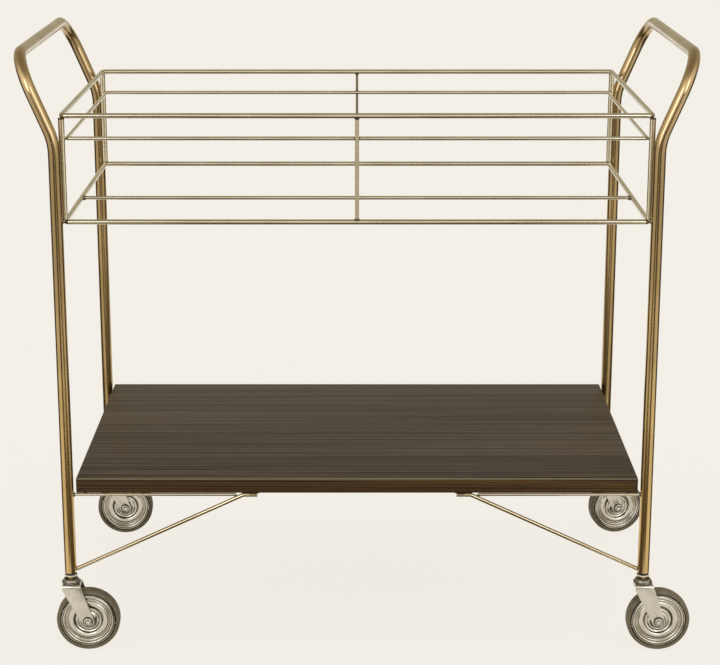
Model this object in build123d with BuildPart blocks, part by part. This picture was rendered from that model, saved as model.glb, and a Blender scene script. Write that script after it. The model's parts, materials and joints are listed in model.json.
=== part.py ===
from build123d import *
from math import atan2, cos, radians, sin, tan
import os

# A bar cart. Two bent tubes, one at each end, make the four legs and the two push handles.
# Between them hang a welded wire basket and a wooden shelf, and each leg stands on a swivel caster.
# Millimetres, +Z up. The origin is on the floor under the middle of the cart.
# +X points to the right as the cart is seen from the front, and +Y to the back.

# End frames
leg_spacing_x = 920.0  # between the leg centre lines, side to side
leg_spacing_y = 498.0  # between the leg centre lines, front to back
tube_diameter = 19.0
tube_wall = 1.2
bend_height = 832.0  # where the legs turn outwards
handle_height = 961.0  # centre line of the handle
handle_reach = 54.0  # how far the handle stands outside its legs
leg_bend_radius = 100.0
handle_bend_radius = 60.0

# Basket
basket_top = 870.0  # centre lines of the three loops
basket_middle = 834.0
basket_bottom = 705.0
rail_diameter = 8.0
middle_wire_diameter = 6.0
corner_post_diameter = 9.5
front_post_diameter = 6.4
back_post_diameter = 4.4
cross_bar_diameter = 6.0
cross_bar_set_back = 181.0  # from the front rail to the cross bar
weld_gap = 0.15  # between members that are welded side by side, and at a brace's foot

# Shelf
shelf_top = 290.0
shelf_thickness = 24.0
shelf_side_gap = 4.0  # between the board's end and a leg
shelf_edge = 1.2  # the board's eased top edge
shelf_rod_diameter = 5.0
side_rod_inset = 14.0  # from the board's end to a side rod
tab_length = 30.0
tab_width = 16.0
tab_thickness = 2.0

# Braces, from a leg's foot up to the board's underside
brace_diameter = 6.4
brace_foot_height = 5.0  # above the leg's lower end
brace_bend_x = 181.0  # where the brace turns level, from the middle of the cart
brace_land = 23.0  # length that lies level, under the board

# Casters
wheel_diameter = 101.6
tyre_width = 22.0
tyre_thickness = 7.0
disc_width = 21.0
disc_rim = 6.0  # width of the flat ring round the dish
dish_depth = 3.5
hub_diameter = 14.0
caster_trail = 26.0  # from the swivel axis to the axle, level
crown_clearance = 9.7  # between the tyre and the fork's crown
fork_gap = 26.0  # between the fork's legs
fork_plate = 2.5
fork_front = 13.0  # from the swivel axis to the crown's front edge
fork_back = 15.0  # from the swivel axis to the crown's back edge
fork_end_radius = 10.0
fork_skirt = 9.0  # how far the crown's front edge runs down before the legs slant
crown_bend = 5.0  # outer radius of the fork's two bends
axle_diameter = 8.0
bolt_head_diameter = 14.0
bolt_head_height = 4.0
nut_across_flats = 13.0
nut_height = 5.0
raceway_diameter = 30.0
raceway_height = 6.5
raceway_shoulder = 3.0  # height of the raceway's sloping shoulder
raceway_slope = 40.0  # degrees that the shoulder leans in
swivel_gap = 0.4  # between the raceway and the crown
stem_diameter = 10.0
stem_neck = 5.5  # bare stem between the raceway and the collar
stem_length = 30.0  # inside the leg
rivet_head_diameter = 16.0
rivet_head_height = 2.4
collar_diameter = 21.5
collar_height = 1.7
socket_neck = 4.0  # bare socket between the collar and the leg's lower end
running_gap = 0.05  # all round a shaft that turns
hub_side_gap = 0.3  # between a hub's end and the fork
socket_gap = 0.05  # all round a leg's socket, and round the stem

# Where each caster points at rest, in degrees from +X
caster_yaw = {"front_left": 2.0, "front_right": 0.0, "rear_left": 4.0, "rear_right": 11.0}

# Worked out from the sizes above
leg_x = leg_spacing_x / 2
leg_y = leg_spacing_y / 2
tube_radius = tube_diameter / 2
bore_radius = tube_radius - tube_wall
wheel_radius = wheel_diameter / 2
crown_top = wheel_diameter + crown_clearance + fork_plate
raceway_bottom = crown_top + swivel_gap
raceway_top = raceway_bottom + raceway_height
collar_bottom = raceway_top + stem_neck
collar_top = collar_bottom + collar_height
leg_bottom = collar_top + socket_neck
lean = atan2(handle_reach, handle_height - bend_height)
bend_start = bend_height - leg_bend_radius * tan(lean / 2)
leg_spots = [(x, y) for x in (-leg_x, leg_x) for y in (-leg_y, leg_y)]

# The outer corner of each basket rail touches a leg, along the line from the leg to the basket's middle
corner_reach = (tube_radius + weld_gap) * sin(radians(45))
rail_x = leg_x - corner_reach - rail_diameter / 2
rail_y = leg_y - corner_reach - rail_diameter / 2
post_spots = [(x, y) for x in (-rail_x, rail_x) for y in (-rail_y, rail_y)]
post_foot = basket_bottom + rail_diameter / 2
post_height = basket_top - basket_bottom - rail_diameter
# The middle loop lies inside the corner posts and touches them with its own outer corners
wire_inset = (corner_post_diameter / 2 + weld_gap) * sin(radians(45)) + middle_wire_diameter / 2
wire_x = rail_x - wire_inset
wire_y = rail_y - wire_inset
wire_outside_y = wire_y + middle_wire_diameter / 2

shelf_length = leg_spacing_x - tube_diameter - 2 * shelf_side_gap
shelf_depth = leg_spacing_y
shelf_under = shelf_top - shelf_thickness
shelf_rod_z = shelf_under - shelf_rod_diameter / 2
leg_inner_x = leg_x - tube_radius
brace_radius = brace_diameter / 2
brace_foot_z = leg_bottom + brace_foot_height
brace_top_z = shelf_under - brace_radius
brace_slope = atan2(brace_top_z - brace_foot_z, leg_inner_x - brace_bend_x)
# A shelf rod comes in from its leg and ends where it meets the slanting part of the brace
brace_rise = (brace_radius + weld_gap) / cos(brace_slope) - brace_radius
shelf_rod_inner_x = brace_bend_x + (shelf_rod_diameter + brace_rise) / tan(brace_slope)

os.makedirs("parts", exist_ok=True)


def save(piece, name):
    """Labels a finished piece and writes it under its own name."""
    piece.part.label = name
    export_step(piece.part, f"parts/{name}.step")


def rod(start, end, diameter):
    """A straight round rod, cut square at both ends."""
    start, end = Vector(*start), Vector(*end)
    with BuildPart() as piece:
        with BuildSketch(Plane(start, z_dir=end - start)):
            Circle(diameter / 2)
        extrude(amount=(end - start).length)
    return piece


# End frames


def end_frame(side):
    """One bent tube: up the front leg, out and over as the handle, and down the rear leg."""
    near_x, far_x = side * leg_x, side * (leg_x + handle_reach)
    radii = [leg_bend_radius, handle_bend_radius, handle_bend_radius, leg_bend_radius]
    with BuildPart() as tube:
        with BuildLine():
            route = FilletPolyline(
                (near_x, -leg_y, leg_bottom),
                (near_x, -leg_y, bend_height),
                (far_x, -leg_y, handle_height),
                (far_x, leg_y, handle_height),
                (near_x, leg_y, bend_height),
                (near_x, leg_y, leg_bottom),
                radius=radii,
            )
        with BuildSketch(Plane(route @ 0, z_dir=route % 0)):
            Circle(tube_radius)
        sweep()
        # the legs are open below, and their bore is modelled as far as the first bend
        with BuildSketch(Plane.XY.offset(leg_bottom)):
            with Locations((near_x, -leg_y), (near_x, leg_y)):
                Circle(bore_radius)
        extrude(amount=bend_start - leg_bottom, mode=Mode.SUBTRACT)
    return tube


save(end_frame(-1), "left_end_frame")
save(end_frame(1), "right_end_frame")


# Basket


def wire_loop(half_x, half_y, z, diameter):
    """A rectangular loop of round wire with tight corners."""
    with BuildPart() as loop:
        with BuildLine():
            route = Polyline(
                (0, -half_y, z),
                (half_x, -half_y, z),
                (half_x, half_y, z),
                (-half_x, half_y, z),
                (-half_x, -half_y, z),
                close=True,
            )
        with BuildSketch(Plane(route @ 0, z_dir=route % 0)):
            Circle(diameter / 2)
        sweep(transition=Transition.RIGHT)
    return loop


save(wire_loop(rail_x, rail_y, basket_top, rail_diameter), "basket_top_rail")
save(wire_loop(wire_x, wire_y, basket_middle, middle_wire_diameter), "basket_middle_wire")
save(wire_loop(rail_x, rail_y, basket_bottom, rail_diameter), "basket_bottom_rail")

with BuildPart() as corner_posts:
    with BuildSketch(Plane.XY.offset(post_foot)):
        with Locations(*post_spots):
            Circle(corner_post_diameter / 2)
    extrude(amount=post_height)
save(corner_posts, "basket_corner_posts")

# The two middle posts stand between the rails, just outside the middle loop
front_post_y = -(wire_outside_y + front_post_diameter / 2 + weld_gap)
back_post_y = wire_outside_y + back_post_diameter / 2 + weld_gap
post_top = post_foot + post_height
front_post = rod((0, front_post_y, post_foot), (0, front_post_y, post_top), front_post_diameter)
save(front_post, "basket_front_post")
back_post = rod((0, back_post_y, post_foot), (0, back_post_y, post_top), back_post_diameter)
save(back_post, "basket_back_post")

cross_bar_y = cross_bar_set_back - rail_y
cross_bar_half = rail_x - rail_diameter / 2
cross_bar = rod(
    (-cross_bar_half, cross_bar_y, basket_bottom),
    (cross_bar_half, cross_bar_y, basket_bottom),
    cross_bar_diameter,
)
save(cross_bar, "basket_cross_bar")


# Shelf

with BuildPart() as shelf_board:
    with BuildSketch(Plane.XY.offset(shelf_under)):
        Rectangle(shelf_length, shelf_depth)
    extrude(amount=shelf_thickness)
    chamfer(shelf_board.faces().sort_by(Axis.Z)[-1].edges(), shelf_edge)
save(shelf_board, "shelf_board")

# A rod from each leg carries the board's long edges, as far as the brace
for name, y in (("shelf_front_rod", -leg_y), ("shelf_back_rod", leg_y)):
    with BuildPart() as edge_rods:
        with BuildSketch(Plane.YZ.offset(shelf_rod_inner_x)):
            with Locations((y, shelf_rod_z)):
                Circle(shelf_rod_diameter / 2)
        extrude(amount=leg_inner_x - shelf_rod_inner_x)
        mirror(about=Plane.YZ)
    save(edge_rods, name)

# Two rods tie the front and rear ones together under the board's ends
side_rod_x = shelf_length / 2 - side_rod_inset
side_rod_half = leg_y - shelf_rod_diameter / 2
with BuildPart() as side_rods:
    with BuildSketch(Plane.XZ.offset(-side_rod_half)):
        with Locations((-side_rod_x, shelf_rod_z), (side_rod_x, shelf_rod_z)):
            Circle(shelf_rod_diameter / 2)
    extrude(amount=2 * side_rod_half)
save(side_rods, "shelf_side_rods")

# Flat tabs screwed to the board from below, each welded to the level end of a brace
tab_x = brace_bend_x - brace_land / 2
tab_y = leg_y - brace_radius - tab_width / 2
with BuildPart() as shelf_tabs:
    with BuildSketch(Plane.XY.offset(shelf_under - tab_thickness)):
        with GridLocations(2 * tab_x, 2 * tab_y, 2, 2):
            Rectangle(tab_length, tab_width)
    extrude(amount=tab_thickness)
save(shelf_tabs, "shelf_tabs")


# Braces


def braces(y):
    """Two mirrored rods, each from a leg's foot up to the board, where its end lies level."""
    foot_x = leg_inner_x - weld_gap - brace_radius * sin(brace_slope)
    with BuildPart() as pair:
        with BuildLine():
            route = Polyline(
                (foot_x, y, brace_foot_z),
                (brace_bend_x, y, brace_top_z),
                (brace_bend_x - brace_land, y, brace_top_z),
            )
        with BuildSketch(Plane(route @ 0, z_dir=route % 0)):
            Circle(brace_radius)
        sweep(transition=Transition.RIGHT)
        mirror(about=Plane.YZ)
    return pair


save(braces(-leg_y), "front_braces")
save(braces(leg_y), "rear_braces")


# Fixed pieces of the casters, one to each leg


def leg_rings(radius, bottom, height):
    """The same ring round all four stems."""
    with BuildPart() as rings:
        with BuildSketch(Plane.XY.offset(bottom)):
            with Locations(*leg_spots):
                Circle(radius)
                Circle(stem_diameter / 2 + socket_gap, mode=Mode.SUBTRACT)
        extrude(amount=height)
    return rings


# A socket lines each leg's bore and stands out a little below it, on a collar
save(leg_rings(bore_radius - socket_gap, collar_top, socket_neck + stem_length), "leg_sockets")
save(leg_rings(collar_diameter / 2, collar_bottom, collar_height), "leg_collars")

# The stem runs from inside the leg down through the fork's crown, and its riveted head holds the fork up
rivet_top = crown_top - fork_plate - swivel_gap
with BuildPart() as caster_stems:
    with BuildSketch(Plane.XY.offset(rivet_top)):
        with Locations(*leg_spots):
            Circle(stem_diameter / 2)
    extrude(amount=leg_bottom + stem_length - rivet_top)
    with BuildSketch(Plane.XY.offset(rivet_top - rivet_head_height)):
        with Locations(*leg_spots):
            Circle(rivet_head_diameter / 2)
    extrude(amount=rivet_head_height)
save(caster_stems, "caster_stems")

# The raceway housing is fixed on the stem, and the fork turns under it
with BuildPart() as caster_raceways:
    with BuildSketch(Plane.XY.offset(raceway_bottom)):
        with Locations(*leg_spots):
            Circle(raceway_diameter / 2)
    extrude(amount=raceway_height - raceway_shoulder)
    with BuildSketch(Plane.XY.offset(raceway_top - raceway_shoulder)):
        with Locations(*leg_spots):
            Circle(raceway_diameter / 2)
    extrude(amount=raceway_shoulder, taper=raceway_slope)
    with BuildSketch(Plane.XY.offset(raceway_bottom)):
        with Locations(*leg_spots):
            Circle(stem_diameter / 2 + socket_gap)
    extrude(amount=raceway_height, mode=Mode.SUBTRACT)
save(caster_raceways, "caster_raceways")


# Turning pieces of one caster


def fork(side_view):
    """A U-shaped strap: the crown turns on the stem, and the legs slant back to the axle."""
    crown_under = crown_top - fork_plate
    fork_width = fork_gap + 2 * fork_plate
    with BuildPart() as strap:
        with BuildSketch(side_view):
            with BuildLine():
                Polyline(
                    (-fork_front, crown_top - fork_skirt),
                    (-fork_front, crown_top),
                    (fork_back, crown_top),
                )
                CenterArc((caster_trail, wheel_radius), fork_end_radius, 0, 360)
            make_hull()
        extrude(amount=fork_width / 2, both=True)
        corners = strap.edges().filter_by(GeomType.LINE).group_by(Axis.Z)[-1]
        long_edges = [e for e in corners if abs((e % 0.5).dot(side_view.x_dir)) > 0.9]
        fillet(long_edges, crown_bend)
        # the gap for the wheel is open below, in front and behind
        end_view = Plane(side_view.origin, x_dir=-side_view.z_dir, z_dir=side_view.x_dir)
        with BuildSketch(end_view):
            with Locations((0, crown_under - wheel_radius)):
                gap = Rectangle(fork_gap, 2 * wheel_radius)
            fillet(gap.vertices().group_by(Axis.Y)[-1], crown_bend - fork_plate)
        extrude(amount=caster_trail + fork_end_radius + fork_back, both=True, mode=Mode.SUBTRACT)
        with BuildSketch(Plane(side_view.origin).offset(crown_under)):
            Circle(stem_diameter / 2 + running_gap)
        extrude(amount=fork_plate, mode=Mode.SUBTRACT)
        with BuildSketch(side_view):
            with Locations((caster_trail, wheel_radius)):
                Circle(axle_diameter / 2)
        extrude(amount=fork_width / 2, both=True, mode=Mode.SUBTRACT)
    return strap


def axle_bolt(section, axle):
    """A bolt with a low round head on the front face of the fork."""
    outside = fork_gap / 2 + fork_plate
    with BuildPart() as bolt:
        with BuildSketch(section):
            with BuildLine():
                Polyline(
                    (-outside - bolt_head_height, 0),
                    (-outside - bolt_head_height, bolt_head_diameter / 2),
                    (-outside, bolt_head_diameter / 2),
                    (-outside, axle_diameter / 2),
                    (outside + nut_height, axle_diameter / 2),
                    (outside + nut_height, 0),
                    close=True,
                )
            make_face()
        revolve(axis=axle)
    return bolt


def axle_nut(side_view):
    """A hexagon nut on the bolt, outside the fork's rear leg."""
    outside = fork_gap / 2 + fork_plate
    with BuildPart() as nut:
        with BuildSketch(side_view.offset(-outside - nut_height)):
            with Locations((caster_trail, wheel_radius)):
                RegularPolygon(nut_across_flats / 2, 6, major_radius=False)
                Circle(axle_diameter / 2, mode=Mode.SUBTRACT)
        extrude(amount=nut_height)
    return nut


def tyre(section, axle):
    """A rubber ring on the wheel's rim."""
    with BuildPart() as ring:
        with BuildSketch(section):
            with Locations((0, wheel_radius - tyre_thickness / 2)):
                Rectangle(tyre_width, tyre_thickness)
        revolve(axis=axle)
    return ring


def wheel_disc(section, axle):
    """Two dished steel discs, joined at the rim and on a hub that turns on the bolt."""
    rim = wheel_radius - tyre_thickness
    dish = rim - disc_rim
    half = disc_width / 2
    floor = half - dish_depth
    hub_end = fork_gap / 2 - hub_side_gap
    hub = hub_diameter / 2
    bore = axle_diameter / 2 + running_gap
    with BuildPart() as disc:
        with BuildSketch(section):
            with BuildLine():
                Polyline(
                    (-hub_end, bore), (-hub_end, hub), (-floor, hub), (-floor, dish),
                    (-half, dish), (-half, rim), (half, rim), (half, dish),
                    (floor, dish), (floor, hub), (hub_end, hub), (hub_end, bore),
                    close=True,
                )
            make_face()
        revolve(axis=axle)
    return disc


for name, yaw in caster_yaw.items():
    x = leg_x if "right" in name else -leg_x
    y = leg_y if "rear" in name else -leg_y
    trail = Vector(1, 0, 0).rotate(Axis.Z, yaw)
    across = Vector(0, 1, 0).rotate(Axis.Z, yaw)
    side_view = Plane((x, y, 0), x_dir=trail, z_dir=-across)
    axle_point = Vector(x, y, wheel_radius) + trail * caster_trail
    section = Plane(axle_point, x_dir=across, z_dir=trail)
    axle = Axis(axle_point, across)
    save(fork(side_view), f"{name}_fork")
    save(axle_bolt(section, axle), f"{name}_axle_bolt")
    save(axle_nut(side_view), f"{name}_axle_nut")
    save(tyre(section, axle), f"{name}_tyre")
    save(wheel_disc(section, axle), f"{name}_wheel_disc")
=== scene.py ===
import json
from math import copysign, pi, radians, tan

import bmesh
import bpy
from mathutils import Matrix, Vector, noise


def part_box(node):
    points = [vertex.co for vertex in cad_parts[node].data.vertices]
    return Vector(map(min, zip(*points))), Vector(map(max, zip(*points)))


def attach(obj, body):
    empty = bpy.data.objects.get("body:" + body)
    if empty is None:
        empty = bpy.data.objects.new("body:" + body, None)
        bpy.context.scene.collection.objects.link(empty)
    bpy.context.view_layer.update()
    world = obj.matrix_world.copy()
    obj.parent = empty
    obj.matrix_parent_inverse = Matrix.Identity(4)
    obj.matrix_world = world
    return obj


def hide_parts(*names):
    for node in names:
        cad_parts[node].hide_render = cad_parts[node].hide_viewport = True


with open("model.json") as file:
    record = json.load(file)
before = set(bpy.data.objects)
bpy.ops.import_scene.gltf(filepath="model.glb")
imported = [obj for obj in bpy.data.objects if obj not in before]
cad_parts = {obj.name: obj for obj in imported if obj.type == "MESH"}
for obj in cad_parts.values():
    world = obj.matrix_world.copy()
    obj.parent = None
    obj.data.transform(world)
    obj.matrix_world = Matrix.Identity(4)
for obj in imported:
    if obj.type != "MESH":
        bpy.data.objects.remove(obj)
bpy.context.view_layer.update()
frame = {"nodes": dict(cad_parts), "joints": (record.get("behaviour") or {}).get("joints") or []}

# End frames
# Each is one length of steel tube, bent cold in four places: a leg, the handle, and the other leg.
# It is plated in antique brass, brushed along its length and a little darker in patches.

mm = 0.001
tube_radius = 9.5 * mm
tube_bore = 8.3 * mm
leg_bend = 100 * mm
handle_bend = 60 * mm
bend_height = 832 * mm
bore_depth = 30 * mm
seam_gap = 0.002 * mm

frame_low, frame_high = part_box("right_end_frame")
leg_x = frame_low.x + tube_radius
leg_y = frame_high.y - tube_radius
leg_bottom = frame_low.z
handle_x = frame_high.x - tube_radius
handle_z = frame_high.z - tube_radius
arm_lean = (handle_x - leg_x) / (handle_z - bend_height)
leg_spots = [(x, y) for x in (-leg_x, leg_x) for y in (-leg_y, leg_y)]


class Socket:
    """One value or colour in a material's nodes. Sums and products of values add Math nodes."""

    def __init__(self, tree, out=None):
        self.tree = tree
        self.out = out

    def node(self, kind, settings=None, inputs=None, out=0):
        """Adds any other node: its settings first, then the values or links of its sockets."""
        node = self.tree.nodes.new(kind)
        for name, value in (settings or {}).items():
            setattr(node, name, value)
        for name, value in (inputs or {}).items():
            if isinstance(value, Socket):
                self.tree.links.new(value.out, node.inputs[name])
            else:
                node.inputs[name].default_value = value
        return Socket(self.tree, node.outputs[out])

    def math(self, operation, *values):
        return self.node("ShaderNodeMath", {"operation": operation}, dict(enumerate(values)))

    def __add__(self, other):
        return self.math("ADD", self, other)

    def __sub__(self, other):
        return self.math("SUBTRACT", self, other)

    def __rsub__(self, other):
        return self.math("SUBTRACT", other, self)

    def __mul__(self, other):
        return self.math("MULTIPLY", self, other)

    __radd__ = __add__
    __rmul__ = __mul__

    def axis(self, letter):
        """One of a place's X, Y and Z."""
        return self.node("ShaderNodeSeparateXYZ", {}, {0: self}, out=letter)

    def between(self, low, high):
        """0 at low, 1 at high, even between them and held beyond them."""
        limits = {"From Min": low, "From Max": high}
        return self.node("ShaderNodeMapRange", {}, {"Value": self, **limits})

    def mix(self, first, second):
        """The first colour at 0 and the second at 1."""
        ends = {6: first, 7: second}
        return self.node("ShaderNodeMix", {"data_type": "RGBA"}, {0: self, **ends}, out=2)

    def speckle(self, scale, stretch=(1, 1, 1), detail=3.0, place=None):
        """Noise in the piece's own coordinates, finer where stretch is larger."""
        where = place or self.node("ShaderNodeTexCoord", out="Object")
        scales = [scale * s for s in stretch]
        spread = self.node("ShaderNodeMapping", {}, {"Vector": where, "Scale": scales})
        noises = {"Vector": spread, "Scale": 1.0, "Detail": detail}
        return self.node("ShaderNodeTexNoise", {}, noises)


def new_finish(name, **values):
    """A material with constants set on its shader.
    Returns it, a socket to start from, and the shader."""
    finish = bpy.data.materials.new(name)
    finish.use_nodes = True
    shader = finish.node_tree.nodes["Principled BSDF"]
    for socket, value in values.items():
        shader.inputs[socket.replace("_", " ")].default_value = value
    return finish, Socket(finish.node_tree), shader


def feed(shader, **sockets):
    """Links values to a shader's sockets."""
    for name, value in sockets.items():
        value.tree.links.new(value.out, shader.inputs[name.replace("_", " ")])


def bump(height, strength, distance):
    """The normal that a height of a given strength and distance gives."""
    settings = {"Height": height, "Strength": strength, "Distance": distance}
    return height.node("ShaderNodeBump", {}, settings)


# Most of a noise's values lie in this range.
noise_range = (0.3, 0.7)

brush_grain = 900
brush_stretch = 0.02
age_grain = 14
age_range = (0.35, 0.68)
age_share = 0.8
brush_share = 0.2

# Each pair of places runs from where a band of painted light, shade or sheen begins to where it is
# full.
lit_leg_span = (490 * mm, 390 * mm)
front_half = (100 * mm, -100 * mm)
shaded_leg_span = (580 * mm, 690 * mm)
sheen_arm_span = (800 * mm, 860 * mm)
painted_leg_light = 0.42
painted_leg_shade = 0.25
painted_arm_sheen = (1.0, 1.03, 1.24)


def brass_finish(name, pale, dark, gloss=(0.74, 0.84), paint_light=False):
    """Plated brass: brushed streaks along upright and level runs, over cloudy patches of age.
    With paint_light it has painted light low on the front legs, painted shade beside the basket and
    a paler painted sheen above it."""
    finish, start, shader = new_finish(name, Metallic=1.0, Coat_Weight=0.7, Coat_Roughness=0.08)
    where = start.node("ShaderNodeTexCoord", out="Object")
    across, along, height = (where.axis(letter) for letter in "XYZ")
    lean = start.math("MAXIMUM", height - bend_height, 0.0) * arm_lean
    straightened = {"X": start.math("ABSOLUTE", across) - lean, "Y": along, "Z": height}
    upright_place = start.node("ShaderNodeCombineXYZ", {}, straightened)
    upright = start.speckle(brush_grain, (1, 1, brush_stretch), 2.0, upright_place)
    level = start.speckle(brush_grain, (1, brush_stretch, 1), 2.0, where)
    is_level = height.between(handle_z - handle_bend / 2, handle_z - handle_bend / 4)
    streaks = is_level * level + (1 - is_level) * upright
    clouds = start.speckle(age_grain, (1, 1, 0.6), 5.0, where).between(*age_range)
    tone = clouds * age_share + streaks.between(*noise_range) * brush_share
    colour = tone.mix((*dark, 1), (*pale, 1))
    if paint_light:
        # Painted light and shade by height: brighter low on the front legs, darker beside the
        # basket, and a painted sheen that makes the arms paler and cooler.
        arms = height.between(*sheen_arm_span)
        light_scale = 1 + height.between(*lit_leg_span) * along.between(*front_half) * painted_leg_light
        light_scale = light_scale - height.between(*shaded_leg_span) * (1 - arms) * painted_leg_shade
        scaled = {0: colour, "Scale": light_scale}
        colour = start.node("ShaderNodeVectorMath", {"operation": "SCALE"}, scaled)
        tinted = {0: colour, 1: painted_arm_sheen}
        sheened = start.node("ShaderNodeVectorMath", {"operation": "MULTIPLY"}, tinted)
        colour = arms.mix(colour, sheened)
    low_gloss, high_gloss = gloss
    shine = tone * (high_gloss - low_gloss) + low_gloss
    feed(shader, Base_Color=colour, Roughness=1 - shine)
    return finish


antique_brass = brass_finish(
    "antique_brass", (0.57, 0.395, 0.163), (0.365, 0.238, 0.086), paint_light=True,
)


def push(bm, edges, step):
    """Extrudes edges by a step and returns the new ones."""
    grown = bmesh.ops.extrude_edge_only(bm, edges=edges)["geom"]
    bmesh.ops.translate(bm, vec=step, verts=[g for g in grown if isinstance(g, bmesh.types.BMVert)])
    return [g for g in grown if isinstance(g, bmesh.types.BMEdge)]


def ring(bm, centre, way, radius, sides):
    """A circle of edges, square to its way."""
    turn = way.to_track_quat("Z", "Y").to_matrix().to_4x4()
    place = Matrix.Translation(centre) @ turn
    made = bmesh.ops.create_circle(bm, segments=sides, radius=radius, matrix=place)
    return list({e for v in made["verts"] for e in v.link_edges})


def bent_bar(bm, points, bends, radius, sides=40, bend_steps=12, closed=False):
    """Draws a ring along straight runs and swings it round bends of the given radii.
    Returns both end rings."""
    points = [Vector(p) for p in points]
    if closed:
        middle = (points[0] + points[-1]) / 2
        points = [middle, *points, middle]
    here = points[0]
    first = edges = ring(bm, here, points[1] - here, radius, sides)
    for corner, after, bend_radius in zip(points[1:-1], points[2:], bends):
        way = (corner - here).normalized()
        onward = (after - corner).normalized()
        turn = way.angle(onward)
        set_back = bend_radius * tan(turn / 2)
        axis = way.cross(onward).normalized()
        bend_start = corner - way * set_back
        edges = push(bm, edges, bend_start - here)
        swung = bmesh.ops.spin(
            bm,
            geom=edges + list({v for e in edges for v in e.verts}),
            cent=bend_start + axis.cross(way) * bend_radius,
            axis=axis,
            angle=turn,
            steps=max(3, round(bend_steps * turn / (pi / 2))),
        )["geom_last"]
        edges = [g for g in swung if isinstance(g, bmesh.types.BMEdge)]
        here = corner + onward * set_back
    return first, push(bm, edges, points[-1] - here)


def step_in(bm, edges, centre, share):
    """Extrudes a ring of edges towards its centre, to a share of its size."""
    inner = push(bm, edges, (0, 0, 0))
    verts = list({v for e in inner for v in e.verts})
    bmesh.ops.scale(bm, vec=(share,) * 3, space=Matrix.Translation(-Vector(centre)), verts=verts)
    return inner


def close_end(bm, edges):
    """Fills a ring of edges with one face."""
    bmesh.ops.contextual_create(bm, geom=edges)


def round_end(bm, edges, centre, way, radius, ease):
    """Closes a bar's end with a small eased edge."""
    edges = step_in(bm, push(bm, edges, way.normalized() * ease), centre, 1 - ease / radius)
    close_end(bm, edges)


def finish_piece(name, bm, finish, body, replaces=(), crease=35):
    """Turns a bmesh into a piece that rides on a body and stands for the nodes it replaces."""
    bmesh.ops.remove_doubles(bm, verts=bm.verts, dist=seam_gap)
    bmesh.ops.recalc_face_normals(bm, faces=bm.faces)
    mesh = bpy.data.meshes.new(name)
    bm.to_mesh(mesh)
    bm.free()
    mesh.shade_smooth()
    mesh.set_sharp_from_angle(angle=radians(crease))
    mesh.materials.append(finish)
    piece = bpy.data.objects.new(name, mesh)
    bpy.context.scene.collection.objects.link(piece)
    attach(piece, body)
    if replaces:
        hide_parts(*replaces)


for side, name in ((-1, "left"), (1, "right")):
    bm = bmesh.new()
    near, far = side * leg_x, side * handle_x
    ends = bent_bar(
        bm,
        [
            (near, -leg_y, leg_bottom),
            (near, -leg_y, bend_height),
            (far, -leg_y, handle_z),
            (far, leg_y, handle_z),
            (near, leg_y, bend_height),
            (near, leg_y, leg_bottom),
        ],
        (leg_bend, handle_bend, handle_bend, leg_bend),
        tube_radius,
        sides=56,
        bend_steps=24,
    )
    for end, y in zip(ends, (-leg_y, leg_y)):
        mouth = step_in(bm, end, (near, y, leg_bottom), tube_bore / tube_radius)
        close_end(bm, push(bm, mouth, (0, 0, bore_depth)))
    node = f"{name}_end_frame"
    finish_piece(f"{name}_end_tube", bm, antique_brass, "cart", [node])

# Basket
# Three loops of round steel wire stand one above the other, welded to posts and to the legs.
# The top and bottom loops are thicker than the middle one, which runs inside the posts.

rail_radius = 4 * mm
rail_bend = 8 * mm
wire_radius = 3 * mm
wire_bend = 5 * mm
post_ease = 0.4 * mm

pale_brass = brass_finish("pale_brass", (0.66, 0.585, 0.43), (0.50, 0.42, 0.28))
# The corner and front posts take a paler, lit copy of the wire brass: painted light. The back post
# takes a darker, shaded copy: painted shade.
lit_post_brass = brass_finish("lit_post_brass", (0.80, 0.70, 0.50), (0.64, 0.54, 0.36))
shaded_brass = brass_finish(
    "shaded_brass", (0.34, 0.26, 0.15), (0.20, 0.15, 0.08), gloss=(0.66, 0.78),
)


def wire_loop(node, radius, bend_radius):
    """A closed loop of wire that fills its node's own box. Returns its half sizes and height."""
    low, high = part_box(node)
    half_x, half_y = high.x - radius, high.y - radius
    z = (low.z + high.z) / 2
    bm = bmesh.new()
    signs = ((1, -1), (1, 1), (-1, 1), (-1, -1))
    corners = [(x * half_x, y * half_y, z) for x, y in signs]
    bent_bar(bm, corners, [bend_radius] * 4, radius, sides=32, bend_steps=12, closed=True)
    finish_piece(f"{node}_loop", bm, pale_brass, "cart", [node])
    return Vector((half_x, half_y, z))


wire_loop("basket_top_rail", rail_radius, rail_bend)
middle_wire = wire_loop("basket_middle_wire", wire_radius, wire_bend)
bottom_rail = wire_loop("basket_bottom_rail", rail_radius, rail_bend)


def straight_bars(node, bars, sides=32, finish=pale_brass):
    """Straight round bars in one piece, each from a start to an end."""
    bm = bmesh.new()
    for start, end, radius in bars:
        start, end = Vector(start), Vector(end)
        way = (end - start).normalized()
        inner_start, inner_end = start + way * post_ease, end - way * post_ease
        edges = ring(bm, inner_start, way, radius, sides)
        far_edges = push(bm, edges, inner_end - inner_start)
        round_end(bm, edges, start, -way, radius, post_ease)
        round_end(bm, far_edges, end, way, radius, post_ease)
    finish_piece(f"{node}_bars", bm, finish, "cart", [node])


post_low, post_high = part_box("basket_corner_posts")
corner_post_radius = 4.75 * mm
post_x, post_y = post_high.x - corner_post_radius, post_high.y - corner_post_radius
post_spots = [(x, y) for x in (-post_x, post_x) for y in (-post_y, post_y)]
straight_bars(
    "basket_corner_posts",
    [((x, y, post_low.z), (x, y, post_high.z), corner_post_radius) for x, y in post_spots],
    finish=lit_post_brass,
)


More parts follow.
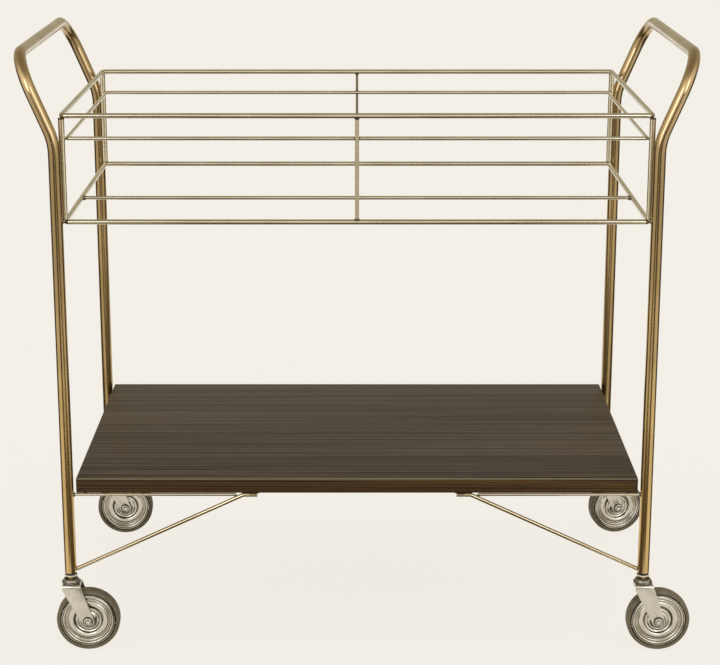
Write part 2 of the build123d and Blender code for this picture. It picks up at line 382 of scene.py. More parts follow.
def bar_in_box(node, axis):
    """The bar that just fills its node's box, along one axis."""
    low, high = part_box(node)
    middle = (low + high) / 2
    start, end = middle.copy(), middle.copy()
    start[axis], end[axis] = low[axis], high[axis]
    radius = (high - low)[(axis + 1) % 3] / 2
    return start, end, radius


front_post = bar_in_box("basket_front_post", 2)
back_post = bar_in_box("basket_back_post", 2)
cross_bar = bar_in_box("basket_cross_bar", 0)
straight_bars("basket_front_post", [front_post], finish=lit_post_brass)
straight_bars("basket_back_post", [back_post], finish=shaded_brass)
straight_bars("basket_cross_bar", [cross_bar])

# Basket welds
# Each post and bar is welded where it meets a loop or a leg, and plated with its welds.
# A bead round a bar's end is a squat cone, and a weld between two bars a lump, both uneven.

bead_height = 2.6 * mm
bead_flare = 1.9 * mm
bead_neck = 0.05 * mm
bead_roughness = 0.25 * mm
bead_grain = 900
bead_sink = 0.8 * mm
corner_bead_sink = 0.6 * mm
corner_bead_height = 2 * mm
post_lump = (5.6 * mm, 2.4 * mm, 4.0 * mm)
leg_lump = (2.6 * mm, 2.6 * mm, 4.2 * mm)
wire_lump = (1.8 * mm, 1.8 * mm, 2.8 * mm)

weld_brass = brass_finish("weld_brass", (0.28, 0.21, 0.12), (0.10, 0.07, 0.035), gloss=(0.5, 0.6))

# A fixed seed gives the same welds in each run. Without one, the noise starts from the clock.
noise.seed_set(1)


def roughen(verts):
    """Moves each point a little, by its place."""
    for vert in verts:
        vert.co += noise.noise_vector(vert.co * bead_grain) * bead_roughness


def bead(bm, foot, way, radius, flare=bead_flare, height=bead_height):
    """A flared bead round a bar of that radius: wide at its foot, and narrower along its way."""
    turn = way.to_track_quat("Z", "Y").to_matrix().to_4x4()
    cone = bmesh.ops.create_cone(
        bm,
        cap_ends=True,
        segments=28,
        radius1=radius + flare,
        radius2=radius + bead_neck,
        depth=height,
        matrix=Matrix.Translation(foot + way * height / 2) @ turn,
    )
    roughen(cone["verts"])


def lump(bm, centre, size):
    """A lump of weld, given by its half sizes."""
    place = Matrix.Translation(centre) @ Matrix.Diagonal((*size, 1))
    ball = bmesh.ops.create_icosphere(bm, subdivisions=3, radius=1, matrix=place)
    roughen(ball["verts"])


def weld_between(bm, inside, outside, share, size):
    """A lump at a share of the way from one bar's centre line to the other's."""
    lump(bm, inside + (outside - inside) * share, size)


def same_side(size, x, y):
    """A loop's corner, from its half sizes and height, on the side where x and y are."""
    return Vector((copysign(size.x, x), copysign(size.y, y), size.z))


up = Vector((0, 0, 1))
bm = bmesh.new()
for x, y in post_spots:
    foot = Vector((x, y, post_low.z - corner_bead_sink))
    top = Vector((x, y, post_high.z + corner_bead_sink))
    bead(bm, foot, up, corner_post_radius, flare=0.5 * mm, height=corner_bead_height)
    bead(bm, top, -up, corner_post_radius, flare=0.4 * mm, height=corner_bead_height)
for start, end, radius in (front_post, back_post):
    bead(bm, start - up * bead_sink, up, radius)
    bead(bm, end + up * bead_sink, -up, radius)
for post, _, _ in (front_post, back_post):
    meeting = Vector((0, copysign(middle_wire.y, post.y), middle_wire.z))
    weld_between(bm, meeting, Vector((0, post.y, middle_wire.z)), 0.3, post_lump)
left_end, right_end, cross_radius = cross_bar
for side, end in ((1, left_end), (-1, right_end)):
    way = Vector((side, 0, 0))
    bead(bm, end - way * bead_sink, way, cross_radius, flare=1.6 * mm, height=4 * mm)
posts_at_wire = Vector((post_x, post_y, middle_wire.z))
for x, y in leg_spots:
    weld_between(bm, same_side(bottom_rail, x, y), Vector((x, y, bottom_rail.z)), 0.36, leg_lump)
    weld_between(bm, same_side(middle_wire, x, y), same_side(posts_at_wire, x, y), 0.42, wire_lump)
finish_piece("basket_welds", bm, weld_brass, "cart")

# Shelf
# The board is dark stained wood, fine and straight in the grain, with thin eased edges. It rests on
# short rods that come in from the legs and on rods under its ends, and four tabs are screwed to it.

board_ease = 1.2 * mm
board_low, board_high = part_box("shelf_board")

grain_along = 0.035
grain_sway = (0, 6 * mm, 0)
band_grain, band_share = 26, 0.05
streak_grain, streak_share = 175, 0.40
ring_grain, ring_share = (0.8, 60, 140), 0.35
fibre_grain, fibre_share = 260, 0.20
pore_grain, pore_depth = 500, 0.5
edge_shade_depth = 0.35
edge_highlight_depth = 0.75

face_dark, face_light = (0.010, 0.0060, 0.0030, 1), (0.094, 0.067, 0.047, 1)
banding_dark, banding_light = (0.008, 0.0035, 0.0003, 1), (0.106, 0.0490, 0.0071, 1)
pore_colour = (0.014, 0.008, 0.004, 1)
edge_shade_colour = (0.012, 0.007, 0.002, 1)
edge_highlight_colour = (0.30, 0.24, 0.145, 1)


def wood_finish():
    """Dark stained wood: rippled streaks, fibres and pores along X. The banding on its long sides
    has painted shade at its lips and a thin painted highlight along its upper edge."""
    finish, start, shader = new_finish("dark_wood", Specular_IOR_Level=0.26)
    where = start.node("ShaderNodeTexCoord", out="Object")
    across, height = where.axis("Y"), where.axis("Z")
    reach = across * across

    def near_sides(begin, full):
        """0 over the board and 1 at its long sides, between two distances from them, in eases."""
        begin_y, full_y = (board_high.y - eases * board_ease for eases in (begin, full))
        return reach.between(begin_y ** 2, full_y ** 2)

    swayed = {0: start.speckle(3.0, detail=2.0, place=where), 1: grain_sway, 2: where}
    shifted = start.node("ShaderNodeVectorMath", {"operation": "MULTIPLY_ADD"}, swayed)
    bands = start.speckle(band_grain, (grain_along, 1, 1), 3.0, shifted).between(*noise_range)
    streaks = start.speckle(streak_grain, (grain_along / 5, 1, 1.6), 1.0, shifted)
    streaks = streaks.between(0.36, 0.64)
    ripple = start.node("ShaderNodeMapping", {}, {"Vector": shifted, "Scale": ring_grain})
    waves = {"Vector": ripple, "Scale": 1.0, "Distortion": 2.5, "Detail": 1.0, "Detail Scale": 0.5}
    rings = start.node("ShaderNodeTexWave", {"bands_direction": "DIAGONAL"}, waves, out="Fac")
    fibres = start.speckle(fibre_grain, (grain_along / 3, 1, 1), 2.0, shifted).between(0.32, 0.68)
    pores = start.speckle(pore_grain, (grain_along, 1, 1), 2.0, shifted).between(0.6, 0.7)
    tone = bands * band_share + streaks * streak_share + rings * ring_share + fibres * fibre_share
    tone = tone.between(0.13, 0.87)

    face = tone.mix(face_dark, face_light)
    banding = tone.mix(banding_dark, banding_light)
    stained = near_sides(0.4, 0.1).mix(face, banding)
    colour = (pores * pore_depth).mix(stained, pore_colour)
    # Painted shade near the banding's lower and upper lips.
    low_edge_shade = height.between(board_low.z + 2.2 * mm, board_low.z + 1.2 * mm)
    high_edge_shade = height.between(board_high.z - 3.0 * mm, board_high.z - 2.2 * mm)
    edge_shades = (low_edge_shade + high_edge_shade) * near_sides(0.4, 0.1)
    colour = (edge_shades * edge_shade_depth).mix(colour, edge_shade_colour)
    # A thin painted highlight along the banding's upper edge.
    upper_highlight = height.between(board_high.z - 1.2 * board_ease, board_high.z - 0.8 * board_ease)
    upper_highlight = upper_highlight * near_sides(1.1, 0.7)
    colour = (upper_highlight * edge_highlight_depth).mix(colour, edge_highlight_colour)
    surface = fibres * 0.6 - pores
    feed(
        shader,
        Base_Color=colour,
        Roughness=0.5 - bands * 0.08,
        Normal=bump(surface, strength=0.25, distance=0.2 * mm),
    )
    return finish


dark_wood = wood_finish()

bm = bmesh.new()
bmesh.ops.create_cube(bm, size=1)
bmesh.ops.scale(bm, vec=board_high - board_low, verts=bm.verts)
bmesh.ops.translate(bm, vec=(board_low + board_high) / 2, verts=bm.verts)
bmesh.ops.bevel(
    bm, geom=bm.edges[:], offset=board_ease, offset_type="OFFSET",
    affect="EDGES", segments=4, profile=0.5, material=-1,
)
finish_piece("shelf_plank", bm, dark_wood, "cart", ["shelf_board"])

rod_inner_x = min(abs(v.co.x) for v in frame["nodes"]["shelf_front_rod"].data.vertices)
for node in ("shelf_front_rod", "shelf_back_rod"):
    start, end, radius = bar_in_box(node, 0)
    inner_left = Vector((-rod_inner_x, start.y, start.z))
    inner_right = Vector((rod_inner_x, end.y, end.z))
    straight_bars(node, [(start, inner_left, radius), (inner_right, end, radius)], sides=24)

side_low, side_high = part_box("shelf_side_rods")
side_radius = (side_high.z - side_low.z) / 2
side_bars = []
for x in (side_low.x + side_radius, side_high.x - side_radius):
    z = side_low.z + side_radius
    side_bars.append(((x, side_low.y, z), (x, side_high.y, z), side_radius))
straight_bars("shelf_side_rods", side_bars, sides=24)

tab_length = 30 * mm
tab_width = 16 * mm
tab_corner = 3 * mm
tab_edge = 0.3 * mm

tab_low, tab_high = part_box("shelf_tabs")
tab_thickness = tab_high.z - tab_low.z
tab_spots = [
    (x, y)
    for x in (tab_low.x + tab_length / 2, tab_high.x - tab_length / 2)
    for y in (tab_low.y + tab_width / 2, tab_high.y - tab_width / 2)
]
bm = bmesh.new()
for x, y in tab_spots:
    place = Matrix.Translation((x, y, (tab_low.z + tab_high.z) / 2))
    size = Matrix.Diagonal((tab_length, tab_width, tab_thickness, 1))
    verts = bmesh.ops.create_cube(bm, size=1, matrix=place @ size)["verts"]
    edges = {e for v in verts for e in v.link_edges}
    upright = [e for e in edges if abs(e.verts[0].co.z - e.verts[1].co.z) > tab_thickness / 2]
    bmesh.ops.bevel(
        bm, geom=upright, offset=tab_corner, offset_type="OFFSET",
        affect="EDGES", segments=5, profile=0.5, material=-1,
    )
outer_edges = [e for e in bm.edges if e.calc_face_angle(0) > 1]
bmesh.ops.bevel(
    bm, geom=outer_edges, offset=tab_edge, offset_type="OFFSET",
    affect="EDGES", segments=2, profile=0.5, material=-1,
)
finish_piece("shelf_tab_plates", bm, pale_brass, "cart", ["shelf_tabs"])

screw_radius = 3.6 * mm
screw_height = 2.2 * mm
screw_slot = 1.1 * mm
screw_side, screw_shoulder, screw_crown = 0.45, 0.35, 0.2
shoulder_width, crown_width, slot_width = 0.82, 0.55, 0.4
steel_dark, steel_pale = (0.3, 0.28, 0.24, 1), (0.5, 0.48, 0.42, 1)

screw_steel, start, shader = new_finish("screw_steel", Metallic=1.0)
scuffs = start.speckle(900)
feed(shader, Base_Color=scuffs.mix(steel_dark, steel_pale), Roughness=scuffs * 0.2 + 0.25)

bm = bmesh.new()
for x, y in tab_spots:
    under = Vector((x, y, tab_low.z))
    drop = -up * screw_height
    edges = ring(bm, under, -up, screw_radius, 24)
    close_end(bm, edges)
    edges = push(bm, edges, drop * screw_side)
    edges = push(bm, edges, drop * screw_shoulder)
    edges = step_in(bm, edges, under + drop * (screw_side + screw_shoulder), shoulder_width)
    edges = step_in(bm, push(bm, edges, drop * screw_crown), under + drop, crown_width)
    edges = step_in(bm, edges, under + drop, slot_width)
    close_end(bm, push(bm, edges, up * screw_slot))
finish_piece("shelf_screws", bm, screw_steel, "cart")

# Braces
# A rod slopes from just above each leg's foot up to the underside of the shelf.
# Its upper end is bent level and welded to a tab and to the shelf rod, its foot to the leg.

brace_bend = 9 * mm
brace_land = 23 * mm
brace_bend_x = 181 * mm

rod_brass = brass_finish("rod_brass", (0.64, 0.52, 0.32), (0.44, 0.33, 0.18))

for node in ("front_braces", "rear_braces"):
    low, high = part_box(node)
    y = (low.y + high.y) / 2
    radius = (high.y - low.y) / 2
    top = high.z - radius
    bm = bmesh.new()
    for side in (-1, 1):
        foot = Vector((side * (high.x - radius * 0.4), y, low.z + radius))
        bend = Vector((side * brace_bend_x, y, top))
        tip = Vector((side * (brace_bend_x - brace_land), y, top))
        rod = bent_bar(bm, [foot, bend, tip], [brace_bend], radius, sides=28, bend_steps=16)
        for end in rod:
            close_end(bm, end)
    finish_piece(f"{node}_rods", bm, rod_brass, "cart", [node])

# Rod welds
# The shelf rods, the side rods and the braces are welded to the legs and to each other.
# Each has a small bead or lump of its own, and the braces' level ends are welded along the tabs.

side_bead_sink = 0.3 * mm
foot_lump = (2.2 * mm, 3.1 * mm, 3.3 * mm)
rod_lump = (3.6 * mm, 2.3 * mm, 2.1 * mm)
tab_lump = (3.5 * mm, 1.5 * mm, 1.3 * mm)
land_lump = (4.2 * mm, 1.9 * mm, 1.3 * mm)
tab_lump_places = (4 * mm, 17 * mm)
land_lump_places = (13 * mm, 18 * mm)

rod_low, rod_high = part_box("shelf_front_rod")
rod_z = (rod_low.z + rod_high.z) / 2
brace_low, brace_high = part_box("front_braces")
brace_radius = (brace_high.y - brace_low.y) / 2
bm = bmesh.new()
for x, y in leg_spots:
    side, depthwise = copysign(1, x), copysign(1, y)
    rod_foot = Vector((side * (rod_high.x + 0.3 * mm), y, rod_z))
    bead(bm, rod_foot, -Vector((side, 0, 0)), brace_radius, flare=0.9 * mm, height=2.4 * mm)
    tab_side = y - brace_radius * depthwise
    land_side = y + brace_radius * 0.55 * depthwise
    lumps = [
        (brace_high.x - 0.6 * mm, y, brace_low.z + brace_radius, foot_lump),
        (rod_inner_x + 1.5 * mm, y, rod_z - 0.8 * mm, rod_lump),
    ]
    for place in tab_lump_places:
        lumps.append((brace_bend_x - place, tab_side, brace_high.z - 1.6 * mm, tab_lump))
    for place in land_lump_places:
        lumps.append((brace_bend_x - place, land_side, brace_high.z - 1.4 * mm, land_lump))
    for out, lump_y, lump_z, size in lumps:
        lump(bm, Vector((side * out, lump_y, lump_z)), size)
for start, end, radius in side_bars:
    for spot, way in ((start, Vector((0, 1, 0))), (end, Vector((0, -1, 0)))):
        foot = Vector(spot) - way * side_bead_sink
        bead(bm, foot, way, radius, flare=0.8 * mm, height=2.2 * mm)
finish_piece("rod_welds", bm, weld_brass, "cart")

# Leg sockets
# A black plastic socket is pressed into each leg and stands out a little below it.
# A cream plastic collar closes its lower end.

collar_low, collar_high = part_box("leg_collars")
socket_low, socket_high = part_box("leg_sockets")
collar_radius = 10.75 * mm
collar_ease = 0.6 * mm
socket_radius = 8.2 * mm
stem_radius = 5 * mm
slip = 0.1 * mm
cream_dark, cream_pale = (0.70, 0.63, 0.48, 1), (0.84, 0.78, 0.64, 1)
black_dark, black_pale = (0.008, 0.007, 0.006, 1), (0.022, 0.02, 0.017, 1)

cream_plastic, start, shader = new_finish("cream_plastic", Coat_Weight=0.2)
mottle = start.speckle(160)
feed(
    shader,
    Base_Color=mottle.mix(cream_dark, cream_pale),
    Roughness=mottle * 0.15 + 0.3,
    Normal=bump(mottle, strength=0.08, distance=0.2 * mm),
)

black_plastic, start, shader = new_finish("black_plastic")
mottle = start.speckle(240)
feed(shader, Base_Color=mottle.mix(black_dark, black_pale), Roughness=mottle * 0.2 + 0.5)


def spun(bm, profile, place, steps=64):
    """Spins a profile of (radius, height) points about the Z axis of its place."""
    chain = [bm.verts.new(place @ Vector((r, 0, h))) for r, h in profile]
    edges = [bm.edges.new(pair) for pair in zip(chain, chain[1:])]
    bmesh.ops.spin(
        bm, geom=chain + edges, cent=place.translation, axis=place.to_3x3() @ up,
        angle=2 * pi, steps=steps, use_merge=True,
    )


def at_each_leg(profile):
    """The same spun shape at all four legs."""
    bm = bmesh.new()
    for x, y in leg_spots:
        spun(bm, profile, Matrix.Translation((x, y, 0)))
    return bm


sleeve = [
    (stem_radius + slip, socket_low.z),
    (socket_radius, socket_low.z),
    (socket_radius, socket_high.z),
    (stem_radius + slip, socket_high.z),
    (stem_radius + slip, socket_low.z),
]
sleeves = at_each_leg(sleeve)
finish_piece("leg_socket_sleeves", sleeves, black_plastic, "cart", ["leg_sockets"])

collar = [
    (stem_radius + slip, collar_low.z),
    (collar_radius - collar_ease, collar_low.z),
    (collar_radius, collar_low.z + collar_ease),
    (collar_radius, collar_high.z - collar_ease),
    (collar_radius - collar_ease, collar_high.z),
    (stem_radius + slip, collar_high.z),
    (stem_radius + slip, collar_low.z),
]
collars = at_each_leg(collar)
finish_piece("leg_collar_rings", collars, cream_plastic, "cart", ["leg_collars"])

# Caster stems
# The yellow-plated steel stem stands in the socket and runs down through the raceway and the
# fork's crown. Its upper end is eased, and its lower end is riveted over under the crown.

stem_low, stem_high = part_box("caster_stems")
stem_ease = 1 * mm
rivet_radius = 8 * mm
rivet_height = 2.4 * mm
plate_dark, plate_pale = (0.76, 0.55, 0.26, 1), (0.95, 0.76, 0.44, 1)

stem_plate, start, shader = new_finish("stem_plate", Metallic=1.0)
streak = start.speckle(500, (1, 1, 0.1))
feed(
    shader,
    Base_Color=streak.mix(plate_dark, plate_pale),
    Roughness=streak * 0.2 + 0.22,
    Normal=bump(streak, strength=0.1, distance=0.2 * mm),
)

pin = [
    (0, stem_low.z),
    (rivet_radius * 0.55, stem_low.z),
    (rivet_radius * 0.9, stem_low.z + rivet_height * 0.45),
    (rivet_radius, stem_low.z + rivet_height * 0.8),
    (rivet_radius, stem_low.z + rivet_height),
    (stem_radius, stem_low.z + rivet_height),
    (stem_radius, stem_high.z - stem_ease),
    (stem_radius - stem_ease, stem_high.z),
    (0, stem_high.z),
]
pins = at_each_leg(pin)
finish_piece("caster_stem_pins", pins, stem_plate, "cart", ["caster_stems"])

# Raceways
# Each is a pressed steel cup that holds the upper ring of balls. It is fixed on the stem.
# Its rim rolls over into a hollow top, dark inside, and its lower edge flares over the crown.

raceway_low, raceway_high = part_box("caster_raceways")
cup_radius = (raceway_high.x - raceway_low.x) / 2 - leg_x
cup_top_radius = 12 * mm
cup_mouth = 9.6 * mm
cup_depth = 3.8 * mm
cup_dark, cup_pale = (0.15, 0.13, 0.10, 1), (0.44, 0.40, 0.33, 1)

raceway_steel, start, shader = new_finish("raceway_steel", Metallic=1.0)
stain = start.speckle(260, detail=5.0)
feed(
    shader,
    Base_Color=stain.between(0.35, 0.65).mix(cup_dark, cup_pale),
    Roughness=stain * 0.3 + 0.3,
    Normal=bump(stain, strength=0.15, distance=0.3 * mm),
)

low, high = raceway_low.z, raceway_high.z
cup = [
    (stem_radius + slip, low),
    (cup_radius - 0.8 * mm, low),
    (cup_radius, low + 0.7 * mm),
    (cup_radius, low + 1.8 * mm),
    (cup_radius - 0.6 * mm, low + 2.4 * mm),
    (cup_radius - 1.5 * mm, low + 2.7 * mm),
    (cup_top_radius + 0.3 * mm, high - 1.1 * mm),
    (cup_top_radius - 0.2 * mm, high - 0.3 * mm),
    (cup_top_radius - 0.9 * mm, high),
    (cup_mouth + 0.6 * mm, high - 0.2 * mm),
    (cup_mouth, high - 0.9 * mm),
    (cup_mouth - 0.6 * mm, high - cup_depth + 0.6 * mm),
    (cup_mouth - 1.4 * mm, high - cup_depth),
    (stem_radius + slip, high - cup_depth),
    (stem_radius + slip, low),
]
cups = at_each_leg(cup)
finish_piece("caster_cups", cups, raceway_steel, "cart", ["caster_raceways"])

# Forks
# Each fork is a strap of steel plate folded over the wheel. Its crown turns on the stem under the
# raceway, and its legs slant back to the axle. It is plated in satin nickel with a warm tone.

plate_ease = 0.45 * mm
nickel_dark, nickel_pale = (0.57, 0.53, 0.44, 1), (0.75, 0.71, 0.61, 1)
grime_and_shade_colour = (0.03, 0.025, 0.018, 1)

# Rings of grime and painted shade round an axle: inner and outer radius in millimetres, and how
# dark.
# On a disc they are partly grime and partly painted shade in its grooves, round its hub and at its
# rim by the tyre; on a plate they are painted shade round the bolt head.
disc_grime_and_shade = [
    (3.9, 4.5, 0.7), (7.0, 12.0, 0.5), (16.4, 16.8, 0.35), (22.2, 23.0, 0.6),
    (34.0, 35.0, 0.3), (37.2, 37.6, 0.45), (40.9, 41.3, 0.9), (43.1, 44.0, 0.97),
]
plate_shade = [(6.9, 8.3, 0.9)]

joints = {joint["name"]: joint for joint in frame["joints"]}
casters = {}
for name in ("front_left", "front_right", "rear_left", "rear_right"):
    axle_point = Vector(joints[f"{name}_wheel_spin"]["pos_m"])
    across = Vector(joints[f"{name}_wheel_spin"]["axis"])
    turned = Matrix((across.cross(up), -up, across)).transposed().to_4x4()
    casters[name] = Matrix.Translation(axle_point) @ turned


def nickel_finish(name, place, is_disc):
    """Warm satin nickel. A disc has fine rings turned about its axle, and a plate rolled lines.
    Rings round the axle are darkened: grime and painted shade on a disc, painted shade round the
    bolt head on a plate.
    """
    finish, start, shader = new_finish(name, Metallic=1.0)
    where = start.node("ShaderNodeTexCoord", out="Object")
    back = place.inverted()
    turn = {"Vector": where, "Location": back.translation, "Rotation": back.to_euler()}
    centred = start.node("ShaderNodeMapping", {}, turn)
    flattened = {0: centred, 1: (1, 1, 0)}
    flat = start.node("ShaderNodeVectorMath", {"operation": "MULTIPLY"}, flattened)
    reach = start.node("ShaderNodeVectorMath", {"operation": "LENGTH"}, {0: flat}, out="Value")
    if is_disc:
        turned = start.node("ShaderNodeCombineXYZ", {}, {"X": reach})
        lines = start.speckle(1500, detail=2.0, place=turned)
    else:
        lines = start.speckle(1000, (1, 0.05, 0.3), 3.0, centred)
    clouds = start.speckle(60, detail=4.0, place=where).between(*noise_range)
    tone = clouds * 0.6 + lines.between(*noise_range) * 0.4
    colour = tone.mix(nickel_dark, nickel_pale)
    # Darkened rings: partly grime and partly painted shade on a disc, painted shade round the bolt
    # head on a plate.
    for near, far, depth in disc_grime_and_shade if is_disc else plate_shade:
        from_near = reach.between((near - 0.4) * mm, near * mm)
        past_far = reach.between(far * mm, (far + 0.5) * mm)
        darkening = from_near * (1 - past_far)
        colour = (darkening * depth).mix(colour, grime_and_shade_colour)
    feed(
        shader,
        Base_Color=colour,
        Roughness=0.28 - tone * 0.1,
        Normal=bump(lines, strength=0.1, distance=0.2 * mm),
    )
    return finish


def eased_copy(node, name, finish, body, ease, sharp=30):
    """A node's own shape with its sharp edges eased, which then stands for the node."""
    bm = bmesh.new()
    bm.from_mesh(frame["nodes"][node].data)
    bmesh.ops.remove_doubles(bm, verts=bm.verts, dist=seam_gap)
    bmesh.ops.dissolve_limit(bm, angle_limit=radians(0.5), verts=bm.verts, edges=bm.edges)
    edges = [e for e in bm.edges if e.calc_face_angle(0) > radians(sharp)]
    bmesh.ops.bevel(
        bm, geom=edges, offset=ease, offset_type="OFFSET", clamp_overlap=True,
        affect="EDGES", segments=2, profile=0.5, material=-1,
    )
    bmesh.ops.triangulate(bm, faces=[f for f in bm.faces if len(f.verts) > 4])
    finish_piece(name, bm, finish, body, [node])


for name, place in casters.items():
    plate_nickel = nickel_finish(f"{name}_plate_nickel", place, is_disc=False)
    body = f"{name}_swivel"
    eased_copy(f"{name}_fork", f"{name}_strap", plate_nickel, body, plate_ease)

# Axles
# A bolt with a round, rimmed head passes through the fork and the wheel from the front,
# and a hexagon nut holds it behind. Both are plated like the fork.

nut_ease = 0.5 * mm
head_radius = 7 * mm
head_height = 4 * mm
shank_radius = 4 * mm
shank_ease = 0.6 * mm
half_fork = 15.5 * mm
shank_end = half_fork + 5 * mm
face = -half_fork - head_height

bolt = [
    (0, face + 1.5 * mm),
    (4.0 * mm, face + 1.5 * mm),
    (4.5 * mm, face + 1.2 * mm),
    (4.9 * mm, face + 0.3 * mm),
    (5.3 * mm, face),
    (6.0 * mm, face + 0.1 * mm),
    (6.6 * mm, face + 0.6 * mm),
    (head_radius, face + 1.5 * mm),
    (head_radius, -half_fork),
    (shank_radius, -half_fork),
    (shank_radius, shank_end - shank_ease),
    (shank_radius - shank_ease, shank_end),
    (0, shank_end),
]

for name, place in casters.items():
    bolt_nickel = nickel_finish(f"{name}_bolt_nickel", place, is_disc=True)
    body = f"{name}_swivel"
    bm = bmesh.new()
    spun(bm, bolt, place, steps=48)
    finish_piece(f"{name}_bolt", bm, bolt_nickel, body, [f"{name}_axle_bolt"])
    eased_copy(f"{name}_axle_nut", f"{name}_nut", bolt_nickel, body, nut_ease)

# Wheels
# Two pressed steel covers, rolled into rings and a dish, close the wheel on both sides of its hub.
# A taupe rubber tyre with rounded shoulders stands round them, with a thin gap between that painted
# shade on the covers' rim makes darker.

wheel_radius = 50.8 * mm
tread_half = 4 * mm
hub_end = 12.7 * mm
bore_radius = 4.05 * mm
rubber_dark, rubber_pale = (0.125, 0.098, 0.054, 1), (0.185, 0.150, 0.094, 1)

# Half the sections of the covers, from the hub outwards, and of the tyre. Each point is
# a radius and a distance from the middle of the wheel, in millimetres.
cover_section = [
    (7.0, 12.7), (7.7, 12.2), (8.7, 10.2), (10.2, 7.7), (12.4, 5.6), (15.0, 4.6), (16.2, 4.7),
    (16.9, 5.2), (17.7, 4.9), (18.6, 4.5), (20.2, 4.7), (21.6, 5.6), (22.8, 7.2), (23.8, 8.2),
    (25.2, 8.7), (30.0, 9.3), (31.2, 9.0), (32.2, 7.8), (33.4, 6.2), (34.6, 5.5), (35.6, 5.8),
    (36.6, 7.2), (37.6, 8.9), (38.4, 9.8), (39.4, 10.1), (40.4, 9.9), (41.0, 9.0), (41.5, 9.7),
    (42.2, 10.5), (42.9, 10.3), (43.3, 9.2), (43.5, 5.5),
]
tyre_section = [
    (43.8, 5.0), (44.3, 6.5), (44.6, 9.8), (45.2, 10.8), (46.2, 11.0), (47.8, 10.9),
    (49.2, 10.3), (50.2, 9.0), (50.7, 7.0),
]


def both_sides(section):
    """A section's points in front of the wheel's middle, and the same behind it in reverse."""
    front = [(r * mm, -h * mm) for r, h in section]
    back = [(r * mm, h * mm) for r, h in reversed(section)]
    return front, back


front, back = both_sides(cover_section)
bore = [(bore_radius, hub_end), (bore_radius, -hub_end)]
covers = [bore[1], *front, *back, *bore]

front, back = both_sides(tyre_section)
tyre = [*front, (wheel_radius, -tread_half), (wheel_radius, tread_half), *back, front[0]]


def rubber_finish():
    """Taupe rubber: matt, a little mottled and dusty."""
    finish, start, shader = new_finish("taupe_rubber", Specular_IOR_Level=0.35)
    mottle = start.speckle(90, detail=5.0).between(*noise_range)
    grit = start.speckle(1800, detail=2.0)
    feed(
        shader,
        Base_Color=(mottle * 0.7 + grit * 0.3).mix(rubber_dark, rubber_pale),
        Roughness=0.62 - mottle * 0.12,
        Normal=bump(grit, strength=0.2, distance=0.1 * mm),
    )
    return finish


taupe_rubber = rubber_finish()

for name, place in casters.items():
    cover_nickel = nickel_finish(f"{name}_cover_nickel", place, is_disc=True)
    shapes = [
        ("covers", covers, 112, cover_nickel, "satin_nickel", "wheel_disc"),
        ("rubber", tyre, 128, taupe_rubber, "tyre_rubber", "tyre"),
    ]
    for shape, section, steps, finish, slot, node in shapes:
        bm = bmesh.new()
        spun(bm, section, place, steps)
        nodes = [f"{name}_{node}"]
        finish_piece(f"{name}_{shape}", bm, finish, f"{name}_wheel", nodes, crease=50)

# Studio
# A pale warm floor runs out to a horizon of the same colour, under a darker ceiling and even light.
# Only reflections see the dark flags on the floor and the two tall light boxes at the sides.

paper_colour = (0.905, 0.871, 0.799, 1)
floor_half = 60.0
floor_glow = 0.94


def panel(name, corners, finish):
    """A flat stage piece."""
    bm = bmesh.new()
    bmesh.ops.contextual_create(bm, geom=[bm.verts.new(c) for c in corners])
    mesh = bpy.data.meshes.new(name)
    bm.to_mesh(mesh)
    bm.free()
    mesh.materials.append(finish)
    piece = bpy.data.objects.new(name, mesh)
    bpy.context.scene.collection.objects.link(piece)
    return piece


def seen_directly(start):
    """1 for what the camera sees, straight or in metal and glass, 0 for what lights the cart."""
    kinds = ("Camera", "Glossy", "Transmission")
    camera, glossy, transmission = (
        start.node("ShaderNodeLightPath", out=f"Is {kind} Ray") for kind in kinds
    )
    return camera + glossy + transmission


floor_paper, start, shader = new_finish(
    "floor_paper", Roughness=0.9, Specular_IOR_Level=0.0, Base_Color=paper_colour,
)
tree = floor_paper.node_tree
glow = start.node("ShaderNodeEmission", {}, {"Color": paper_colour, "Strength": 1.0})
lit = Socket(tree, shader.outputs["BSDF"])
shares = {0: seen_directly(start) * floor_glow, 1: lit, 2: glow}
both = start.node("ShaderNodeMixShader", {}, shares)
tree.links.new(both.out, tree.nodes["Material Output"].inputs["Surface"])
corner_signs = ((-1, -1), (1, -1), (1, 1), (-1, 1))
floor_corners = [(x * floor_half, y * floor_half, 0) for x, y in corner_signs]
panel("floor", floor_corners, floor_paper)


def only_in_reflections(piece):
    """Hides a stage piece from the camera and keeps its light and shadow off the cart."""
    piece.visible_camera = False
    piece.visible_diffuse = False
    piece.visible_transmission = False
    piece.visible_shadow = False


def plain_glow(name, colour, strength):
    """A surface that shines by itself and reflects nothing."""
    finish, _, _ = new_finish(
        name, Base_Color=(0, 0, 0, 1), Roughness=1.0, Specular_IOR_Level=0.0,
        Emission_Color=colour, Emission_Strength=strength,
    )
    return finish


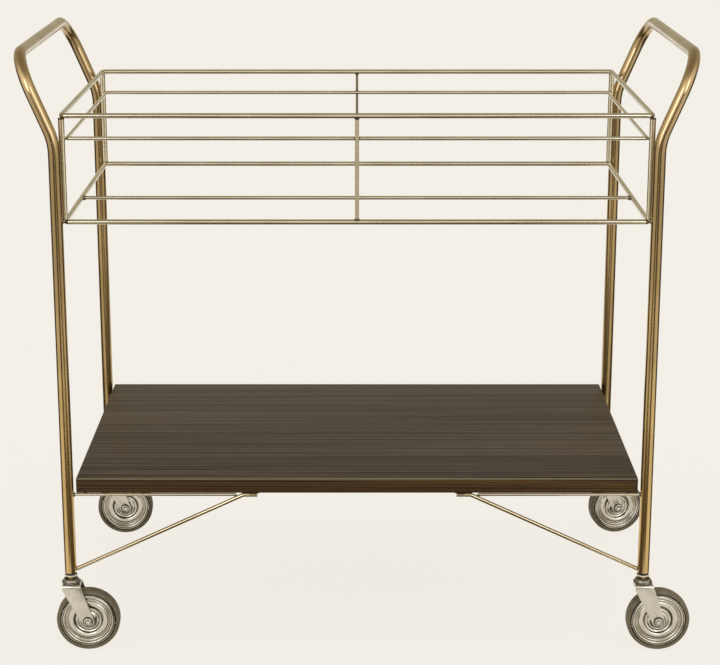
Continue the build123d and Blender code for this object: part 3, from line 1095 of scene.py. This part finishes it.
flag_cloth = plain_glow("flag_cloth", (0.10, 0.082, 0.055, 1), 1.0)
lowest_flag = 1 * mm
flag_spacing = 0.2 * mm
flags = {
    "left_front_flag": [(-0.66, -0.70), (-14.5, -30), (1.1, -30), (-0.44, -0.70)],
    "right_front_flag": [(0.44, -0.70), (-1.1, -30), (14.5, -30), (0.66, -0.70)],
    "left_side_flag": [(-0.70, -0.27), (-31, -0.27), (-31, 26), (-15, 26), (-0.70, 0.20)],
    "right_side_flag": [(0.70, 0.20), (15, 26), (31, 26), (31, -0.27), (0.70, -0.27)],
    "near_flag": [(-0.36, -0.62), (0.36, -0.62), (0.36, -0.20), (-0.36, -0.20)],
    "left_wheel_flag": [(-0.56, -0.312), (-0.36, -0.312), (-0.36, -0.264), (-0.56, -0.264)],
    "right_wheel_flag": [(0.36, -0.312), (0.60, -0.312), (0.60, -0.264), (0.36, -0.264)],
    "left_rear_flag": [(-0.56, 0.17), (-0.30, 0.17), (-0.30, 0.23), (-0.56, 0.23)],
    "right_rear_flag": [(0.30, 0.17), (0.56, 0.17), (0.56, 0.23), (0.30, 0.23)],
    "middle_flag": [(-0.62, -1.25), (0.62, -1.25), (0.62, -0.62), (-0.62, -0.62)],
}
for step, (name, corners) in enumerate(flags.items()):
    z = lowest_flag + flag_spacing * step
    only_in_reflections(panel(name, [(x, y, z) for x, y in corners], flag_cloth))

box_cloth = plain_glow("box_cloth", (0.84, 0.90, 1.0, 1), 3.8)
box_inner_x, box_inner_y = 0.95, -2.87
box_outer_x, box_outer_y = 1.73, -2.26
box_low, box_high = 0.75, 2.3
for side, name in ((-1, "left_box"), (1, "right_box")):
    inner, outer = (side * box_inner_x, box_inner_y), (side * box_outer_x, box_outer_y)
    corners = [(*inner, box_low), (*outer, box_low), (*outer, box_high), (*inner, box_high)]
    only_in_reflections(panel(name, corners, box_cloth))


def soft_light(name, strength, spread, source):
    """A broad even light that shines from its source towards the cart. Metal doesn't mirror it."""
    lamp = bpy.data.lights.new(name, "SUN")
    lamp.energy = strength
    lamp.angle = radians(spread)
    sun = bpy.data.objects.new(name, lamp)
    sun.rotation_euler = Vector(source).to_track_quat("Z", "Y").to_euler()
    sun.visible_glossy = False
    bpy.context.scene.collection.objects.link(sun)


soft_light("top_light", strength=1.15, spread=70, source=(0.05, -0.15, 1))
soft_light("left_light", strength=0.45, spread=40, source=(-1.0, -0.55, 0.5))
soft_light("right_light", strength=0.35, spread=40, source=(1.0, -0.6, 0.45))

room_light = 0.5
front_colour = (1.25, 1.22, 1.13, 1)
back_colour = (0.49, 0.45, 0.32, 1)
ceiling_colour = (0.36, 0.32, 0.25, 1)
front_to_back = (-0.5, 0.3)
wall_to_ceiling = (0.55, 0.88)
white = (1, 1, 1, 1)

room = bpy.data.worlds.new("room")
room.use_nodes = True
tree = room.node_tree
start = Socket(tree)
way = start.node("ShaderNodeTexCoord", out="Generated")
walls = way.axis("Y").between(*front_to_back).mix(front_colour, back_colour)
surround = way.axis("Z").between(*wall_to_ceiling).mix(walls, ceiling_colour)
is_camera = start.node("ShaderNodeLightPath", out="Is Camera Ray")
seen = is_camera.mix(surround, paper_colour)
wall = start.node("ShaderNodeBackground", {}, {"Color": seen, "Strength": 1.0})
dim = start.node("ShaderNodeBackground", {}, {"Color": white, "Strength": room_light})
both = start.node("ShaderNodeMixShader", {}, {0: seen_directly(start), 1: dim, 2: wall})
tree.links.new(both.out, tree.nodes["World Output"].inputs["Surface"])
bpy.context.scene.world = room
bpy.context.scene.view_settings.view_transform = "Standard"

# Camera
# It stands in front of the cart and a little above it, and looks down at the shelf.
# Its small lens shift is the one that fits the legs, the basket and the shelf.

camera_y = -3.05
camera_z = 1.333
camera_pitch = 14.21
camera_lens = 93.6
picture_width = 720
shift_right = 3 / picture_width
shift_down = 0.08

lens = bpy.data.cameras.new("camera")
lens.lens = camera_lens
lens.sensor_width = 36
lens.shift_x = shift_right
lens.shift_y = -shift_down
lens.clip_end = 200
camera = bpy.data.objects.new("camera", lens)
camera.location = (0, camera_y, camera_z)
camera.rotation_euler = (radians(90 - camera_pitch), 0, 0)
bpy.context.scene.collection.objects.link(camera)
bpy.context.scene.camera = camera
